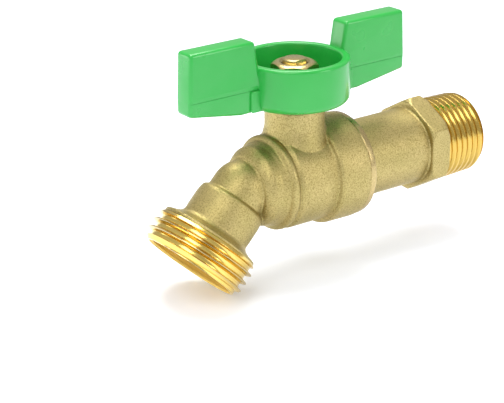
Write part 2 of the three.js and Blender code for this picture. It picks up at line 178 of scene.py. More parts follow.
class Finishes(bpy.types.PropertyGroup):
    cast_light: tint("Cast brass, light", "Sand-cast skin where it catches light", (0.59, 0.472, 0.202, 1))
    cast_dark: tint("Cast brass, dark", "Sand-cast skin in its hollows", (0.22, 0.17, 0.05, 1))
    turned: tint("Turned brass", "Machined threads and faces", (0.65, 0.44, 0.105, 1))
    # Painted light: the outlet tint is the same turned brass as above, made brighter to stand in for the
    # light on the hose thread and mouth.
    outlet: tint("Turned brass, outlet", "Hose thread and mouth", (0.86, 0.63, 0.17, 1))
    turned_dark: tint("Turned brass, dark", "Tool marks in the machined faces", (0.42, 0.27, 0.055, 1))
    rim: tint("Pale brass", "Turned rim and thread tips", (0.57, 0.44, 0.20, 1))
    paint: tint("Green paint", "Handle", (0.004, 0.39, 0.037, 1))
    steel: tint("Spring steel", "Washer", (0.46, 0.45, 0.42, 1))
    chrome: tint("Chrome", "Ball", (0.80, 0.81, 0.83, 1))
    ptfe: tint("Seat white", "Seats and packing", (0.82, 0.82, 0.78, 1))
    rubber: tint("Rubber", "O-rings", (0.02, 0.02, 0.02, 1))


class StageSettings(bpy.types.PropertyGroup):
    floor: tint("Floor", "Pale floor", (0.88, 0.91, 0.98, 1))
    lens: bpy.props.FloatProperty(
        name="Focal length", description="Camera lens", default=124.79, unit="CAMERA"
    )
    stand: bpy.props.FloatVectorProperty(
        name="Camera place",
        description="Where the camera stands, from the stem axis",
        default=(0.31127, -0.24640, 0.14714),
        size=3,
        subtype="TRANSLATION",
    )
    aim: bpy.props.FloatVectorProperty(
        name="Camera aim",
        description="Turn of the camera",
        default=(1.200849, 0.007296, 0.924366),
        size=3,
        subtype="EULER",
    )


GROUPS = {
    "hb_body": BodySizes,
    "hb_thread": ThreadSizes,
    "hb_tail": TailSizes,
    "hb_handle": HandleSizes,
    "hb_fastener": FastenerSizes,
    "hb_finish": Finishes,
    "hb_stage": StageSettings,
}


def sizes(*names):
    """Lengths of the named groups in millimetres, and their angles as they are."""
    found = {}
    for name in names:
        group = getattr(bpy.context.scene, name)
        for key, prop in group.bl_rna.properties.items():
            if prop.type == "FLOAT" and not prop.is_array:
                found[key] = getattr(group, key) * (1 / MM if prop.unit == "LENGTH" else 1)
    return SimpleNamespace(**found)


# One pitch of each thread, as shares of its pitch and of its depth below the crest
HOSE_SECTION = [
    (0, 0),
    (0.07, 0),
    (0.14, 0.12),
    (0.34, 0.96),
    (0.44, 1),
    (0.66, 1),
    (0.76, 0.96),
    (0.94, 0.12),
    (1, 0),
]
PIPE_SECTION = [
    (0, 0),
    (0.26, 0),
    (0.31, 0.06),
    (0.58, 0.97),
    (0.61, 1),
    (0.64, 1),
    (0.67, 0.97),
    (0.95, 0.06),
    (1, 0),
]


# ------------------------------------------------------------------------------ modelling
ALONG_PIPE = Matrix.Rotation(-TURN / 4, 4, "X")
ALONG_STEM = Matrix.Identity(4)


def along_outlet(s):
    """Placement of a shape made around Z on the outlet axis."""
    return Matrix.Translation((0, -s.elbow_reach, 0)) @ Matrix.Rotation(
        TURN / 4 + s.outlet_angle, 4, "X"
    )


def deselect():
    if bpy.context.mode != "OBJECT":
        bpy.ops.object.mode_set(mode="OBJECT")
    bpy.ops.object.select_all(action="DESELECT")


def pick(obj):
    deselect()
    obj.select_set(True)
    bpy.context.view_layer.objects.active = obj


def place(obj, matrix):
    pick(obj)
    obj.matrix_world = matrix
    bpy.ops.object.transform_apply(location=True, rotation=True, scale=True)
    return obj


def apply(obj, kind, **values):
    """Adds a modifier with these values and applies it."""
    pick(obj)
    modifier = obj.modifiers.new(kind, kind)
    for key, value in values.items():
        setattr(modifier, key, value)
    bpy.ops.object.modifier_apply(modifier=modifier.name)
    return obj


def combine(obj, operation, *tools):
    """Adds, cuts or keeps what the tools share with a piece, and uses the tools up."""
    for tool in tools:
        before = len(obj.data.vertices), len(obj.data.polygons)
        apply(
            obj,
            "BOOLEAN",
            object=tool,
            operation=operation,
            solver="EXACT",
            material_mode="TRANSFER",
        )
        if (len(obj.data.vertices), len(obj.data.polygons)) == before:
            raise RuntimeError(f"{operation} of {obj.name} with {tool.name} changed nothing")
        bpy.data.objects.remove(tool)
    return obj


def arc(radius, height, size, start, end, steps=6):
    """Outline points of an arc, angles in degrees from pointing away from the axis."""
    return [
        (
            radius + size * math.cos(math.radians(start + (end - start) * i / steps)),
            height + size * math.sin(math.radians(start + (end - start) * i / steps)),
        )
        for i in range(steps + 1)
    ]


def traced(name, points, material):
    """A line of edges through the points, drawn by extruding one corner; stays in edit mode."""
    deselect()
    bpy.ops.mesh.primitive_plane_add(size=1)
    obj = bpy.context.object
    obj.name = name
    obj.data.materials.append(material)
    bpy.ops.object.mode_set(mode="EDIT")
    bpy.ops.mesh.select_all(action="SELECT")
    bpy.ops.mesh.merge(type="CENTER")
    bpy.ops.transform.translate(value=points[0])
    for here, there in zip(points, points[1:]):
        step = Vector(there) - Vector(here)
        bpy.ops.mesh.extrude_vertices_move(TRANSFORM_OT_translate={"value": step})
    return obj


def turned(name, outline, material, matrix=ALONG_STEM, steps=96):
    """Solid of revolution from outline points (radius, height), which start and end on the axis."""
    obj = traced(name, [(radius, 0, height) for radius, height in outline], material)
    bpy.ops.mesh.select_all(action="SELECT")
    bpy.ops.mesh.spin(steps=steps, angle=TURN, center=(0, 0, 0), axis=(0, 0, 1))
    bpy.ops.mesh.select_all(action="SELECT")
    bpy.ops.mesh.remove_doubles(threshold=MERGE)
    bpy.ops.mesh.normals_make_consistent(inside=False)
    return place(obj, matrix)


def sector(name, radii, heights, start, sweep, material):
    """Part of a ring between two radii and two heights, with its start and sweep in degrees."""
    (inner, outer), (low, high) = radii, heights
    corners = [(inner, 0, low), (outer, 0, low), (outer, 0, high), (inner, 0, high)]
    obj = traced(name, corners, material)
    bpy.ops.mesh.select_all(action="SELECT")
    bpy.ops.mesh.edge_face_add()
    bpy.ops.mesh.spin(
        steps=max(8, sweep // 4), angle=math.radians(sweep), center=(0, 0, 0), axis=(0, 0, 1)
    )
    bpy.ops.mesh.select_all(action="SELECT")
    bpy.ops.mesh.normals_make_consistent(inside=False)
    deselect()
    return place(obj, Matrix.Rotation(math.radians(start), 4, "Z"))


def plate(name, corners, thickness, material):
    """Flat shape in the YZ plane from corner points (y, z), pulled to its thickness along X."""
    obj = traced(name, [(-thickness / 2, y, z) for y, z in corners], material)
    bpy.ops.mesh.select_all(action="SELECT")
    bpy.ops.mesh.edge_face_add()
    bpy.ops.mesh.extrude_region_move(TRANSFORM_OT_translate={"value": (thickness, 0, 0)})
    bpy.ops.mesh.select_all(action="SELECT")
    bpy.ops.mesh.normals_make_consistent(inside=False)
    deselect()
    return obj


def hexagon(name, half, start, end, material, matrix):
    """Hexagonal bar with two flats across X."""
    deselect()
    bpy.ops.mesh.primitive_cylinder_add(
        vertices=6, radius=half * HEX_CORNER, depth=end - start
    )
    obj = bpy.context.object
    obj.name = name
    obj.data.materials.append(material)
    return place(obj, matrix @ Matrix.Translation((0, 0, (start + end) / 2)))


def threaded(name, crest, depth, pitch, start, end, section, material, matrix, taper=0.0):
    """Threaded rod: one pitch of its section, screwed along the axis and cut square at both ends.

    section holds (share of the pitch, share of the depth) for each corner of one pitch."""
    turns = math.ceil((end - start) / pitch) + 2
    low = start - 1.5 * pitch
    line = [(crest - depth * sunk, 0, low + pitch * along) for along, sunk in section]
    obj = traced(name, line, material)
    deselect()
    apply(
        obj,
        "SCREW",
        axis="Z",
        angle=TURN,
        screw_offset=pitch,
        iterations=turns + 1,
        steps=THREAD_STEPS,
        render_steps=THREAD_STEPS,
        use_merge_vertices=True,
        merge_threshold=MERGE,
    )
    pick(obj)
    bpy.ops.object.mode_set(mode="EDIT")
    bpy.ops.mesh.select_all(action="SELECT")
    bpy.ops.mesh.remove_doubles(threshold=THREAD_MERGE)
    for height, side in ((start, -1), (end, 1)):
        bpy.ops.mesh.select_all(action="SELECT")
        bpy.ops.mesh.bisect(
            plane_co=(0, 0, height),
            plane_no=(0, 0, side),
            use_fill=True,
            clear_outer=True,
            threshold=CUT_MARGIN,
        )
    bpy.ops.mesh.select_all(action="SELECT")
    bpy.ops.mesh.normals_make_consistent(inside=False)
    deselect()
    for vertex in obj.data.vertices:
        narrowing = 1 - taper * (vertex.co.z - start) / crest
        vertex.co.x *= narrowing
        vertex.co.y *= narrowing
    return place(obj, matrix)


def cast_skin(obj, cell, rounds=2):
    """Turns a rough union into one even skin with the soft corners of a casting."""
    apply(obj, "REMESH", mode="VOXEL", voxel_size=cell, adaptivity=0)
    return apply(obj, "SMOOTH", factor=0.5, iterations=rounds)


def settle(obj, name, body, slot, *nodes, angle=math.radians(30)):
    """Puts a finished piece in the frame, in metres, and lets it ride and stand for its solids."""
    place(obj, Matrix.Translation(STEM_AXIS) @ Matrix.Scale(MM, 4))
    obj.name = obj.data.name = name
    pick(obj)
    bpy.ops.object.shade_smooth_by_angle(angle=angle)
    if not obj.data.polygons:
        raise RuntimeError(name + " came out empty")
    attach(obj, body)
    if nodes:
        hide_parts(*nodes)
    return obj


# ------------------------------------------------------------------------------ finishes
class Nodes:
    """A material's node tree, with short calls to add and join its nodes."""

    def __init__(self, name):
        self.material = bpy.data.materials.get(name) or bpy.data.materials.new(name)
        self.material.use_nodes = True
        self.tree = self.material.node_tree
        self.tree.nodes.clear()
        self.shader = self.add("ShaderNodeBsdfPrincipled")
        self.join(self.shader, "BSDF", self.add("ShaderNodeOutputMaterial"), "Surface")
        self.place = self.add("ShaderNodeTexCoord")

    def add(self, kind, **values):
        node = self.tree.nodes.new(kind)
        for key, value in values.items():
            if key in node.inputs:
                node.inputs[key].default_value = value
            else:
                setattr(node, key, value)
        return node

    def join(self, source, out, target, into):
        self.tree.links.new(source.outputs[out], target.inputs[into])

    def set(self, **values):
        for key, value in values.items():
            self.shader.inputs[key.replace("_", " ")].default_value = value

    def mapped(self, matrix):
        """Object coordinates turned into a piece's own axes."""
        turned_back = matrix.inverted()
        node = self.add(
            "ShaderNodeMapping",
            Rotation=turned_back.to_euler(),
            Location=turned_back.to_translation(),
        )
        self.join(self.place, "Object", node, "Vector")
        return node

    def noise(self, scale, detail, roughness):
        node = self.add("ShaderNodeTexNoise", Scale=scale, Detail=detail, Roughness=roughness)
        self.join(self.place, "Object", node, "Vector")
        return node

    def multiply(self, first, first_out, second, second_out):
        product = self.add("ShaderNodeMix", data_type="RGBA", blend_type="MULTIPLY")
        product.inputs[0].default_value = 1.0
        self.join(first, first_out, product, 6)
        self.join(second, second_out, product, 7)
        return product

    def ramp(self, source, out, stops):
        """Colour ramp through stops of (position, colour)."""
        node = self.add("ShaderNodeValToRGB")
        elements = node.color_ramp.elements
        while len(elements) < len(stops):
            elements.new(0.5)
        for element, (position, color) in zip(elements, stops):
            element.position = position
            element.color = color
        self.join(source, out, node, "Fac")
        return node

    def span(self, source, out, low, high, to_low=0.0, to_high=1.0):
        node = self.add("ShaderNodeMapRange")
        node.inputs["From Min"].default_value = low
        node.inputs["From Max"].default_value = high
        node.inputs["To Min"].default_value = to_low
        node.inputs["To Max"].default_value = to_high
        self.join(source, out, node, "Value")
        return node

    def bump(self, source, out, strength, distance, below=None):
        node = self.add("ShaderNodeBump", Strength=strength, Distance=distance)
        self.join(source, out, node, "Height")
        if below:
            self.join(below, "Normal", node, "Normal")
        return node


def grey(value):
    return (value, value, value, 1)


def cast_brass():
    """Sand-cast and blasted skin: fine grain, faint mottling, and painted shade that darkens its hollows
    and creases.
    """
    n = Nodes("cast_brass_skin")
    finish = bpy.context.scene.hb_finish
    light, dark = tuple(finish.cast_light), tuple(finish.cast_dark)
    grain = n.noise(3000, 3, 0.6)
    blotch = n.noise(130, 3, 0.55)
    low, middle = mixed(dark, light, 0.15), mixed(dark, light, 0.78)
    color = n.ramp(grain, "Fac", [(0.28, low), (0.50, middle), (0.72, light)])
    tone = n.ramp(blotch, "Fac", [(0.3, (0.86, 0.88, 0.80, 1)), (0.7, grey(1))])
    # Painted shade: ambient occlusion darkens the base colour in creases and hollows where less light
    # reaches.
    corners = n.add("ShaderNodeAmbientOcclusion", samples=8, only_local=True, Distance=0.0022)
    painted_crease_shade = n.ramp(corners, "AO", [(0.45, (0.50, 0.46, 0.36, 1)), (0.88, grey(1))])
    mottled = n.multiply(color, "Color", tone, "Color")
    n.join(n.multiply(mottled, 2, painted_crease_shade, "Color"), 2, n.shader, "Base Color")
    rough = n.span(grain, "Fac", 0.3, 0.7, 0.58, 0.40)
    n.join(rough, "Result", n.shader, "Roughness")
    coarse = n.bump(n.noise(1300, 2, 0.5), "Fac", 0.35, 0.0001)
    fine = n.bump(grain, "Fac", 0.9, 0.00009, coarse)
    n.join(fine, "Normal", n.shader, "Normal")
    n.set(Metallic=1.0)
    return n.material


def mixed(first, second, share):
    return tuple(a + (b - a) * share for a, b in zip(first, second))


def turned_brass(name, matrix, crest=0.0, bright="turned", gloss=(0.24, 0.14)):
    """Machined skin: bright, with fine tool marks round the given axis and, on a thread, pale tips
    beyond the crest radius."""
    n = Nodes(name)
    finish = bpy.context.scene.hb_finish
    bright, dull = tuple(getattr(finish, bright)), tuple(finish.turned_dark)
    along = n.mapped(matrix)
    marks = n.add("ShaderNodeTexNoise", Scale=1.0, Detail=3.0)
    squeeze = n.add("ShaderNodeMapping", Scale=TOOL_MARKS)
    n.join(along, "Vector", squeeze, "Vector")
    n.join(squeeze, "Vector", marks, "Vector")
    color = n.ramp(marks, "Fac", [(0.25, mixed(dull, bright, 0.55)), (0.55, bright)])
    if crest:
        across = n.add("ShaderNodeVectorMath", operation="MULTIPLY")
        across.inputs[1].default_value = (1, 1, 0)
        radius = n.add("ShaderNodeVectorMath", operation="LENGTH")
        n.join(along, "Vector", across, 0)
        n.join(across, "Vector", radius, 0)
        tip = n.span(radius, "Value", crest - 0.00062, crest - 0.00025)
        pale = n.add("ShaderNodeMix", data_type="RGBA")
        n.join(tip, "Result", pale, 0)
        n.join(color, "Color", pale, 6)
        pale.inputs[7].default_value = tuple(finish.rim)
        n.join(pale, 2, n.shader, "Base Color")
    else:
        n.join(color, "Color", n.shader, "Base Color")
    rough = n.span(marks, "Fac", 0.3, 0.7, *gloss)
    n.join(rough, "Result", n.shader, "Roughness")
    bump = n.bump(marks, "Fac", 0.35, 0.00002)
    n.join(bump, "Normal", n.shader, "Normal")
    n.set(Metallic=1.0)
    return n.material


def green_paint():
    """Baked gloss paint with a faint orange peel."""
    n = Nodes("green_gloss_paint")
    paint = tuple(bpy.context.scene.hb_finish.paint)
    tone = n.noise(90, 2, 0.5)
    deep, thin = mixed(paint, grey(0), 0.08), mixed(paint, grey(1), 0.03)
    color = n.ramp(tone, "Fac", [(0.0, deep), (1.0, thin)])
    n.join(color, "Color", n.shader, "Base Color")
    peel = n.bump(n.noise(450, 1, 0.4), "Fac", 0.06, 0.00004)
    n.join(peel, "Normal", n.shader, "Normal")
    rough = n.span(tone, "Fac", 0.0, 1.0, 0.34, 0.24)
    n.join(rough, "Result", n.shader, "Roughness")
    n.set(Coat_Weight=0.25, Coat_Roughness=0.08, Coat_IOR=1.5)
    return n.material


def plain_metal(name, color, low, high, scale=1500, metallic=1.0, bump=0.2):
    """Even finish whose roughness and tone vary slightly over a fine grain."""
    n = Nodes(name)
    grain = n.noise(scale, 3, 0.55)
    shade = n.ramp(grain, "Fac", [(0.3, mixed(color, grey(0), 0.18)), (0.7, color)])
    n.join(shade, "Color", n.shader, "Base Color")
    rough = n.span(grain, "Fac", 0.3, 0.7, low, high)
    n.join(rough, "Result", n.shader, "Roughness")
    n.join(n.bump(grain, "Fac", bump, 0.00003), "Normal", n.shader, "Normal")
    n.set(Metallic=metallic)
    return n.material


# ------------------------------------------------------------------------------ pieces
class HB_OT_body(bpy.types.Operator):
    """Cast body with its elbow, spout, hose thread, boss and waterway"""

    bl_idname = "hb.body"
    bl_label = "Body"

    def execute(self, context):
        s = sizes("hb_body", "hb_thread", "hb_tail")
        cast = cast_brass()
        outlet = along_outlet(s)
        outlet_axis = Matrix.Translation(STEM_AXIS) @ outlet_metres(s)
        crest = s.hose_radius * MM
        # Both outlet materials take the brighter outlet tint, painted light standing in for how the hose
        # thread, mouth and bore are lit.
        machined = turned_brass("turned_brass_outlet", outlet_axis, crest, bright="outlet")
        bored = turned_brass("turned_brass_bore", outlet_axis, bright="outlet", gloss=(0.60, 0.45))
        seam, ring, elbow = s.seam, s.ring_radius, s.elbow_radius
        body = turned(
            "body",
            [
                (0, -15.3),
                (elbow - 0.1, -14.9),
                (7.9, -14.65),
                (8.9, -13.8),
                (9.7, -12.6),
                (9.85, -11.6),
                (ring, -10.6),
                (ring + 0.3, -9.9),
                (ring + 0.35, -9.3),
                (11.0, -9.0),
                (11.6, -8.5),
                (11.7, -7.7),
                (11.4, -7.1),
                (10.95, -6.75),
                (11.4, -6.3),
                (11.82, -5.8),
                (s.drum_radius, -4.6),
                (s.drum_radius, 1.8),
                (s.drum_radius - 0.05, 3.4),
                (11.75, 4.4),
                (12.7, 4.75),
                (13.05, 5.3),
                (s.collar_radius, 8.0),
                (s.collar_radius + 0.05, 12.4),
                (s.collar_radius - 0.1, seam + SEAM_OVERLAP),
                (0, seam + SEAM_OVERLAP),
            ],
            cast,
            ALONG_PIPE,
        )
        root = turned(
            "root",
            [(0, -s.elbow_reach), (elbow, -s.elbow_reach), (elbow, -11), (0, -11)],
            cast,
            ALONG_PIPE,
        )
        deselect()
        bpy.ops.mesh.primitive_uv_sphere_add(
            segments=64,
            ring_count=32,
            radius=elbow - KNUCKLE_GAP,
            location=(0, -s.elbow_reach, 0),
        )
        knuckle = place(bpy.context.object, bpy.context.object.matrix_world.copy())
        bend = turned("bend", [(0, 0), (elbow, 0), (elbow, 4.5), (0, 4.5)], cast, outlet)
        spout = turned(
            "spout",
            [
                (0, 2.7),
                (elbow - 0.3, 2.8),
                (7.6, 3.0),
                (8.25, 3.5),
                (8.5, 4.3),
                (s.spout_radius, 6.0),
                (s.spout_radius, 9.5),
                (8.6, 11.0),
                (9.2, 11.8),
                (10.6, 12.5),
                (12.3, 13.1),
                (12.3, 14.2),
                (0, 14.2),
            ],
            cast,
            outlet,
        )
        boss = turned(
            "boss",
            [
                (0, 2),
                (s.boss_radius + 1.2, 2),
                (s.boss_radius + 1.0, 9.2),
                (s.boss_radius + 0.35, 11.6),
                (s.boss_radius, 13.2),
                (s.boss_radius, s.boss_top - 0.3),
                (s.boss_radius - 0.3, s.boss_top),
                (0, s.boss_top),
            ],
            cast,
        )
        combine(body, "UNION", root, knuckle, bend, spout, boss)
        cast_skin(body, s.grain)
        self.trim_seam(body, seam)
        thread = hose_thread(s, machined, outlet)
        stop = sector("stop", (6.1, s.boss_radius - 0.15), (17, 19.6), -83, 236, cast)
        combine(body, "UNION", thread, stop)
        combine(body, "DIFFERENCE", *waterways(s, bored, outlet))
        settle(body, "valve_body_casting", "body", "cast_brass", "valve_body")
        return {"FINISHED"}

    def trim_seam(self, body, seam):
        """Faces the collar square where the tailpiece shoulders on it."""
        pick(body)
        bpy.ops.object.mode_set(mode="EDIT")
        bpy.ops.mesh.select_all(action="SELECT")
        bpy.ops.mesh.bisect(
            plane_co=(0, seam, 0),
            plane_no=(0, 1, 0),
            use_fill=True,
            clear_outer=True,
            threshold=CUT_MARGIN,
        )
        deselect()


def outlet_metres(s):
    """The outlet placement with its distances in metres."""
    matrix = along_outlet(s)
    matrix.translation *= MM
    return matrix


def hose_thread(s, machined, outlet):
    """Hose thread with round-edged crests and a lead-in cone at its end."""
    thread = threaded(
        "hose_thread",
        s.hose_radius,
        s.hose_depth,
        s.hose_pitch,
        s.hose_start,
        s.hose_end,
        HOSE_SECTION,
        machined,
        outlet,
    )
    end, crest = s.hose_end, s.hose_radius
    envelope = turned(
        "envelope",
        [
            (0, s.hose_start),
            (9.8, s.hose_start),
            (12.2, 13.4),
            (12.75, 13.9),
            (crest - 0.1, 15.3),
            (crest, 15.8),
            (crest, end - 1.9),
            (crest - 1.2, end - 0.3),
            (crest - 1.4, end),
            (0, end),
        ],
        machined,
        outlet,
    )
    return combine(thread, "INTERSECT", envelope)


def waterways(s, bored, outlet):
    """Tools that cut the ball chamber, the bend, the outlet bore with its mouth, and the boss bore."""
    low = edge_of("inlet_seat_ring", 1, 1)
    chamber = turned(
        "chamber",
        [
            (0, -low - 0.3),
            (7.7, -low - 0.3),
            (7.7, -7.4),
            (9.2, -5.8),
            (9.2, 8.3),
            (10.65, 8.3),
            (10.65, 14.2),
            (0, 14.2),
        ],
        bored,
        ALONG_PIPE,
    )
    water = 5
    bend = turned(
        "bend_bore",
        [(0, -s.elbow_reach), (water, -s.elbow_reach), (water, -9.5), (0, -9.5)],
        bored,
        ALONG_PIPE,
        steps=48,
    )
    deselect()
    bpy.ops.mesh.primitive_uv_sphere_add(
        segments=48,
        ring_count=24,
        radius=water - KNUCKLE_GAP,
        location=(0, -s.elbow_reach, 0),
    )
    corner = place(bpy.context.object, bpy.context.object.matrix_world.copy())
    corner.data.materials.append(bored)
    end, mouth = s.hose_end, s.mouth_radius
    bore = turned(
        "outlet_bore",
        [
            (0, 0.2),
            (water, 0.2),
            (5.6, 4),
            (5.6, end - 8.4),
            (mouth - 1.2, end - 7),
            (mouth - 0.3, end - 6.6),
            (mouth - 0.3, end - 0.5),
            (mouth, end - 0.2),
            (mouth + 0.25, end + 0.5),
            (0, end + 0.5),
        ],
        bored,
        outlet,
    )
    stem_bore = turned(
        "stem_bore",
        [
            (0, 0),
            (4.9, 0),
            (4.9, 11.1),
            (3.9, 11.1),
            (3.9, 12.7),
            (5.1, 12.7),
            (5.1, 17.6),
            (5.4, 18.1),
            (5.4, 21),
            (0, 21),
        ],
        bored,
    )
    return chamber, bend, corner, bore, stem_bore


class HB_OT_tailpiece(bpy.types.Operator):
    """Inlet tailpiece: turned rim, cast neck, wrench flats and pipe thread"""

    bl_idname = "hb.tailpiece"
    bl_label = "Tailpiece"

    def execute(self, context):
        s = sizes("hb_tail", "hb_thread")
        cast = cast_brass()
        machined = turned_brass("turned_brass_pipe", Matrix.Translation(STEM_AXIS) @ ALONG_PIPE)
        pale = plain_metal("pale_turned_rim", tuple(context.scene.hb_finish.rim), 0.34, 0.24, 1400)
        end = edge_of("inlet_tailpiece", 1, 1)
        neck = s.neck_radius
        tail = turned(
            "tail",
            [(0, 14), (neck + 0.05, 14), (neck, 17), (neck, 38), (0, 38)],
            cast,
            ALONG_PIPE,
        )
        flats = hexagon("flats", s.wrench_half, s.wrench_start, s.wrench_end + 0.6, cast, ALONG_PIPE)
        corner = s.wrench_half + 1.62
        rounding = turned(
            "rounding",
            [
                (0, s.wrench_start),
                (s.wrench_half + 0.6, s.wrench_start),
                (corner, s.wrench_start + 1.3),
                (corner, s.wrench_end - 0.6),
                (s.wrench_half + 0.5, s.wrench_end + 0.6),
                (0, s.wrench_end + 0.6),
            ],
            cast,
            ALONG_PIPE,
        )
        combine(flats, "INTERSECT", rounding)
        combine(tail, "UNION", flats)
        cast_skin(tail, TAIL_GRAIN, TAIL_ROUNDS)
        rim = s.rim_radius
        seam = s.seam + 0.18
        turned_end = turned(
            "turned_end",
            [
                (0, 8.6),
                (9.9, 8.6),
                (10.2, 8.9),
                (10.2, 10.5),
                (8.7, 10.5),
                (8.7, 12.3),
                (10.2, 12.3),
                (10.2, seam),
                (rim - 0.15, seam),
                (rim, seam + 0.15),
                *arc(rim - 0.45, 15.3 - 0.45, 0.45, 0, 75, 4),
                (neck + 0.6, 15.45),
                *arc(neck + 0.45, 15.9, 0.45, 270, 190, 4),
                (neck - 0.3, 16.3),
                (0, 16.3),
            ],
            pale,
            ALONG_PIPE,
            steps=128,
        )
        thread = threaded(
            "pipe_thread",
            s.pipe_radius,
            s.pipe_depth,
            s.pipe_pitch,
            s.wrench_end - 0.4,
            end,
            PIPE_SECTION,
            machined,
            ALONG_PIPE,
            taper=PIPE_TAPER,
        )
        last = s.pipe_radius - (end - s.wrench_end) * PIPE_TAPER
        envelope = turned(
            "envelope",
            [
                (0, s.wrench_end - 0.4),
                (s.pipe_radius + 0.2, s.wrench_end - 0.4),
                (s.pipe_radius + 0.2, end - 2.2),
                (last, end - 0.75),
                (last - 0.35, end - 0.25),
                (last - 0.7, end),
                (0, end),
            ],
            machined,
            ALONG_PIPE,
        )
        combine(thread, "INTERSECT", envelope)
        combine(tail, "UNION", turned_end, thread)
        bore = turned(
            "bore",
            [
                (0, 7.5),
                (7.7, 7.5),
                (7.7, 9.7),
                (5, 9.7),
                (5, 14.3),
                (s.bore_radius, 17.3),
                (s.bore_radius, end - 0.6),
                (s.bore_radius + 0.6, end),
                (s.bore_radius + 0.6, end + 1),
                (0, end + 1),
            ],
            machined,
            ALONG_PIPE,
        )
        combine(tail, "DIFFERENCE", bore)
        settle(tail, "inlet_tailpiece_turned", "body", "turned_brass", "inlet_tailpiece")
        return {"FINISHED"}


class HB_OT_handle(bpy.types.Operator):
    """Green handle: cup, two wings, web with its flats for the stem, and the stop lug"""

    bl_idname = "hb.handle"
    bl_label = "Handle"

    def execute(self, context):
        s = sizes("hb_handle")
        paint = green_paint()
        top, bottom, cup, inner = s.cup_rim, s.cup_bottom, s.cup_radius, s.cup_inner
        handle = turned(
            "cup",
            [
                (0, 20.6),
                (10.2, 20.6),
                (10.4, 20.4),
                (10.4, bottom + 0.3),
                (10.7, bottom),
                *arc(cup - 1.9, bottom + 1.9, 1.9, -90, 0, 8),
                *arc(cup - 0.75, top - 0.75, 0.75, 0, 90, 6),
                *arc(inner + 0.6, top - 0.6, 0.6, 90, 175, 6),
                (inner - 0.1, 27),
                *arc(inner - 1.0, s.web_top + 0.8, 0.8, 0, -90, 5),
                (0, s.web_top),
            ],
            paint,
            steps=128,
        )
        for side in (1, -1):
            combine(handle, "UNION", self.wing(s, paint, side), self.gusset(s, paint, side))
        combine(handle, "UNION", self.lug(paint))
        hole = turned("hole", [(0, 17), (3.7, 17), (3.7, 24), (0, 24)], paint, steps=64)
        flats = plate("flats", [(-6, 16), (6, 16), (6, 26), (-6, 26)], 5.5, paint)
        combine(hole, "INTERSECT", flats)
        combine(handle, "DIFFERENCE", hole)
        settle(
            handle,
            "handle_painted",
            "handle_and_stem",
            "green_paint",
            "handle",
            angle=math.radians(60),
        )
        return {"FINISHED"}

    def wing(self, s, paint, side):
        """One wing, thickest at the parting line and drafted to its top and bottom edges."""
        bottom, top, reach = s.cup_bottom, s.wing_top, s.wing_reach
        outline = [
            (11.7, bottom + 0.7),
            (13, bottom + 0.2),
            (17.5, bottom + 0.1),
            (reach + 0.45, bottom + 2.4),
            (reach + 0.4, PARTING_LINE),
            (reach, top),
            (13.6, top),
            (12.5, 30),
            (12.2, 28.5),
            (11.7, 28.3),
        ]
        wing = plate("wing", [(side * y, z) for y, z in outline], s.wing_thickness, paint)
        pick(wing)
        bpy.ops.object.mode_set(mode="EDIT")
        for height in (PARTING_LINE - 0.15, PARTING_LINE):
            bpy.ops.mesh.select_all(action="SELECT")
            bpy.ops.mesh.bisect(
                plane_co=(0, 0, height), plane_no=(0, 0, 1), threshold=CUT_MARGIN
            )
        for low, high, share in ((25.5, 99, 0.965), (0, 24.9, 0.976), (0, 24.5, 0.96)):
            self.pick_between(wing, low, high)
            bpy.ops.transform.resize(
                value=(share, 1, 1), center_override=(0, 0, 0), orient_type="GLOBAL"
            )
        deselect()
        return apply(
            wing,
            "BEVEL",
            width=s.edge,
            segments=5,
            limit_method="ANGLE",
            angle_limit=math.radians(24),
            use_clamp_overlap=False,
        )

    def gusset(self, s, paint, side):
        """Thicker root of a wing below the parting line."""
        low, high = s.cup_bottom + 0.35, PARTING_LINE - 0.25
        outline = [
            (11.8, low),
            (14.8, low),
            (15.2, low + 0.4),
            (15.2, high - 0.3),
            (14.9, high),
            (11.8, high),
        ]
        corners = [(side * y, z) for y, z in outline]
        gusset = plate("gusset", corners, s.wing_thickness + 0.9, paint)
        return apply(
            gusset, "BEVEL", width=0.4, segments=3, limit_method="ANGLE", angle_limit=math.radians(35)
        )

    def pick_between(self, obj, low, high):
        """Selects the corners whose height is between two values."""
        mesh = bmesh.from_edit_mesh(obj.data)
        for vertex in mesh.verts:
            vertex.select = low < vertex.co.z < high
        mesh.select_flush_mode()
        bmesh.update_edit_mesh(obj.data)

    def lug(self, paint):
        """Stop lug under the web, which meets the body's stops."""
        sweep = 30
        return sector("lug", (6.3, 8.4), (18.3, 21.6), -100 - sweep / 2, sweep, paint)


